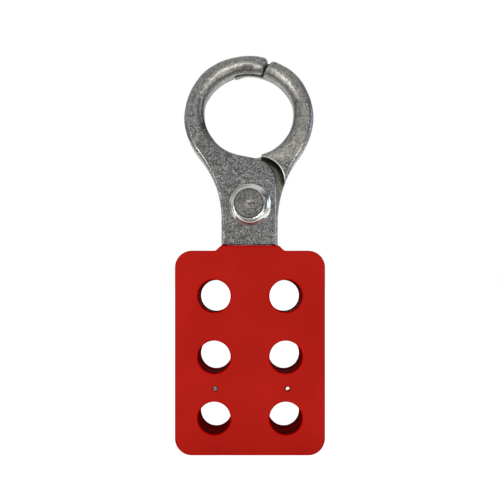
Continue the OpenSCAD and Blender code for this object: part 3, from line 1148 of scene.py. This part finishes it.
def paper_floor(name):
    """Pale floor, white to the camera and in reflections, that keeps the shadow."""
    s = Nodes(bpy.data.materials.new(name))
    x, y, _ = s.parts(s.mm())
    strength = s.ramp(s.length(x, y, 0.0), 120, 500, PAPER, 1.0)
    diffuse = s.node("ShaderNodeBsdfDiffuse", {"Color": (PAPER, PAPER, PAPER, 1)}).outputs[0]
    glow = s.node("ShaderNodeEmission", {"Color": (1, 1, 1, 1), "Strength": strength}).outputs[0]
    both = s.node("ShaderNodeAddShader", {0: diffuse, 1: glow}).outputs[0]
    path = s.node("ShaderNodeLightPath").outputs
    seen = s.highest(path["Is Camera Ray"], path["Is Glossy Ray"], path["Is Transmission Ray"])
    shown = s.node("ShaderNodeMixShader", {0: seen, 1: diffuse, 2: both}).outputs[0]
    s.node("ShaderNodeOutputMaterial", {"Surface": shown})
    return s.owner


# ---- Studio -------------------------------------------------------------------

# What reflections show around the object: straight in front of it, towards the upper
# left, overhead, out to both sides, low down, and in every other direction
FRONT_LIGHT = 0.46
TOP_LIGHT = 0.50
OVERHEAD_LIGHT = 0.68
BESIDE_LIGHT = 0.85
LOW_LIGHT = 0.95
SIDE_LIGHT = 0.10
# The plain fill on everything else: from the front, from behind and from elsewhere
FILL_FRONT = 2.45
FILL_BACK = 7.5
FILL_SIDE = 0.12

# The camera's place in metres, its lens in mm, and how far its view is shifted up
CAMERA_PLACE = (0, -0.171, -0.0676)
CAMERA_LENS = 29.7
CAMERA_SHIFT = 0.07

# The floor's half width, how far it reaches in front of the object, and the gap under
# the grips, in mm
FLOOR_HALF = 6000
FLOOR_FRONT = 44
FLOOR_GAP = 0.05


def add_camera():
    """Level with the middle of the grips, straight in front, as the object is seen."""
    data = bpy.data.cameras.new("camera")
    data.lens = CAMERA_LENS
    data.shift_y = CAMERA_SHIFT
    data.clip_start = 0.01
    camera = bpy.data.objects.new("camera", data)
    camera.location = CAMERA_PLACE
    camera.rotation_euler = (math.pi / 2, 0, 0)
    bpy.context.scene.collection.objects.link(camera)
    bpy.context.scene.camera = camera


def add_lamp(name, place, target, size, energy, colour):
    """An area lamp that points at a target."""
    data = bpy.data.lights.new(name, "AREA")
    data.shape = "RECTANGLE"
    data.size, data.size_y = size
    data.energy = energy
    data.color = colour
    lamp = bpy.data.objects.new(name, data)
    lamp.location = place
    lamp.rotation_euler = (Vector(target) - Vector(place)).to_track_quat("-Z", "Y").to_euler()
    bpy.context.scene.collection.objects.link(lamp)


def mirrored_room(s, right, depth, up):
    """Strength of what reflections show: white behind the object, a room in front."""
    out = s.math("ABSOLUTE", right)
    upper_left = s.math("SUBTRACT", up, s.times(right, 0.5))
    beside = s.times(s.ramp(out, 0.75, 0.95, 0.0, BESIDE_LIGHT), s.ramp(up, 0.15, 0.35, 0.5, 1.0))
    low = s.times(
        s.ramp(up, -0.3, -0.1, 1.0, 0.0),
        s.ramp(out, 0.25, 0.5, 0.2, 1.0),
        s.ramp(depth, -0.3, 0.1, LOW_LIGHT, 0.5 * LOW_LIGHT),
    )
    return s.highest(
        s.ramp(depth, -0.99, -0.87, FRONT_LIGHT, SIDE_LIGHT),
        s.ramp(upper_left, 0.1, 0.6, 0.0, TOP_LIGHT),
        s.ramp(depth, 0.58, 0.74, 0.0, 1.0),
        s.ramp(up, 0.65, 0.85, 0.0, OVERHEAD_LIGHT),
        beside,
        low,
    )


def add_world():
    """White behind the object, with a dim room in front of it.

    The camera sees plain white. Reflections see the white and the room, and everything
    else is lit by a plain fill.
    """
    world = bpy.data.worlds.new("studio")
    bpy.context.scene.world = world
    s = Nodes(world)
    right, depth, up = s.parts(s.node("ShaderNodeTexCoord").outputs["Generated"])
    front_fill = s.ramp(depth, -0.995, -0.82, FILL_FRONT, FILL_SIDE)
    fill = s.math("ADD", front_fill, s.ramp(depth, 0.88, 0.995, 0.0, FILL_BACK))
    path = s.node("ShaderNodeLightPath").outputs
    reflected = s.highest(path["Is Glossy Ray"], path["Is Transmission Ray"])
    lit = s.mix(reflected, fill, mirrored_room(s, right, depth, up))
    seen = s.mix(path["Is Camera Ray"], lit, 1.0)
    background = s.node("ShaderNodeBackground", {"Color": (1, 1, 1, 1), "Strength": seen})
    s.node("ShaderNodeOutputWorld", {"Surface": background.outputs[0]})


def add_floor():
    """A wide floor just under the grips, which fades into white."""
    bm = bmesh.new()
    bmesh.ops.create_grid(bm, x_segments=2, y_segments=2, size=FLOOR_HALF)
    bmesh.ops.translate(bm, verts=bm.verts, vec=(0, FLOOR_HALF - FLOOR_FRONT, GRIP_BOTTOM - FLOOR_GAP))
    floor = new_piece("floor", finish_mesh(bm, "floor", smooth=False))
    floor.data.materials.append(paper_floor("pale_paper"))


add_camera()
add_world()
add_floor()
# Place, target and size in metres, power in watts, and colour
add_lamp("key", (0.10, -0.42, -0.055), (0, 0, -0.06), (0.13, 0.05), 0.33, (1.0, 0.94, 0.84))
add_lamp("left", (-0.23, -0.37, -0.065), (0, 0, -0.05), (0.03, 0.12), 0.42, (1.0, 0.95, 0.86))
add_lamp("right", (0.23, -0.37, -0.065), (0, 0, -0.02), (0.02, 0.07), 0.14, (1.0, 0.95, 0.86))
add_lamp("upper", (0.058, -0.42, 0.114), (0.01, 0, 0), (0.035, 0.045), 0.045, (1.0, 0.94, 0.82))
add_lamp("window", (0.50, -0.06, 0.12), (0, 0, -0.02), (0.12, 0.30), 0.27, (0.50, 0.72, 1.0))

# ---- The object ---------------------------------------------------------------

front_metal = cast_metal("cast_aluminium_front", FRONT)
rear_metal = cast_metal("cast_aluminium_rear", REAR)
front_vinyl = red_vinyl("red_vinyl_front", (0, 0, 0))
rear_vinyl = red_vinyl("red_vinyl_rear", (57, 31, 12))
steel = rivet_steel("rivet_steel")

front_casting = casting("front_casting", FRONT)
rear_casting = turned_round(casting("rear_casting", REAR))
front_handle = grip("front_handle")
rear_handle = turned_round(grip("rear_handle"))
burnished_rivet = rivet("burnished_rivet")

# Each piece with its material, its body, the CAD node it replaces and its slot
pieces = [
    (front_casting, front_metal, "front_leaf", "front_jaw", "cast_aluminium"),
    (rear_casting, rear_metal, "rear_leaf", "rear_jaw", "cast_aluminium"),
    (front_handle, front_vinyl, "front_leaf", "front_grip", "red_grip"),
    (rear_handle, rear_vinyl, "rear_leaf", "rear_grip", "red_grip"),
    (burnished_rivet, steel, "rear_leaf", "pivot_rivet", "rivet_steel"),
]
for piece, material, body, node_name, slot_name in pieces:
    piece.data.materials.clear()
    piece.data.materials.append(material)
    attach(piece, body)
    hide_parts(node_name)

bpy.context.scene.view_settings.view_transform = "Standard"
